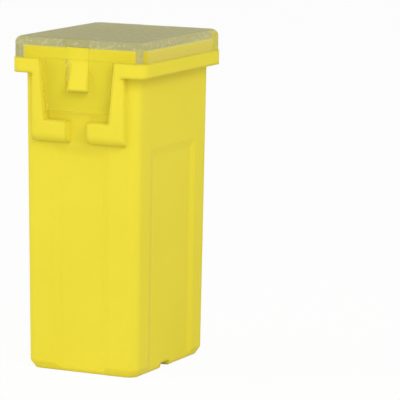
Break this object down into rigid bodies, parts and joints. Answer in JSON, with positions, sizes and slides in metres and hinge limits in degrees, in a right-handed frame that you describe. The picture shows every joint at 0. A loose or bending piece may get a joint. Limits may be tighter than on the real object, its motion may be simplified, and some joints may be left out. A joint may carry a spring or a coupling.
{
  "type": "cartridge fuse",
  "caption": "Female cartridge fuse: opaque moulded housing with slotted sockets for flat blades, a clear clip-on cap with latching tongues, and a folded copper fuse element inside.",
  "frame": {"origin": "centre of the base, on the plane of the terminal face", "axes": "+Z from the terminal face towards the clear cap, X across the narrower width, Y across the depth, with a latch on the -Y face and on the +Y face"},
  "size_m": [0.0122, 0.0148, 0.0278],
  "materials": {
    "housing_nylon": "satin, opaque yellow moulding",
    "element_copper": "bright copper alloy sheet, stamped and folded",
    "cap_clear": "clear moulding, slightly smoky"
  },
  "bodies": {
    "root": {"housing": "housing_nylon", "element": "element_copper", "cap": "cap_clear"}
  },
  "joints": []
}
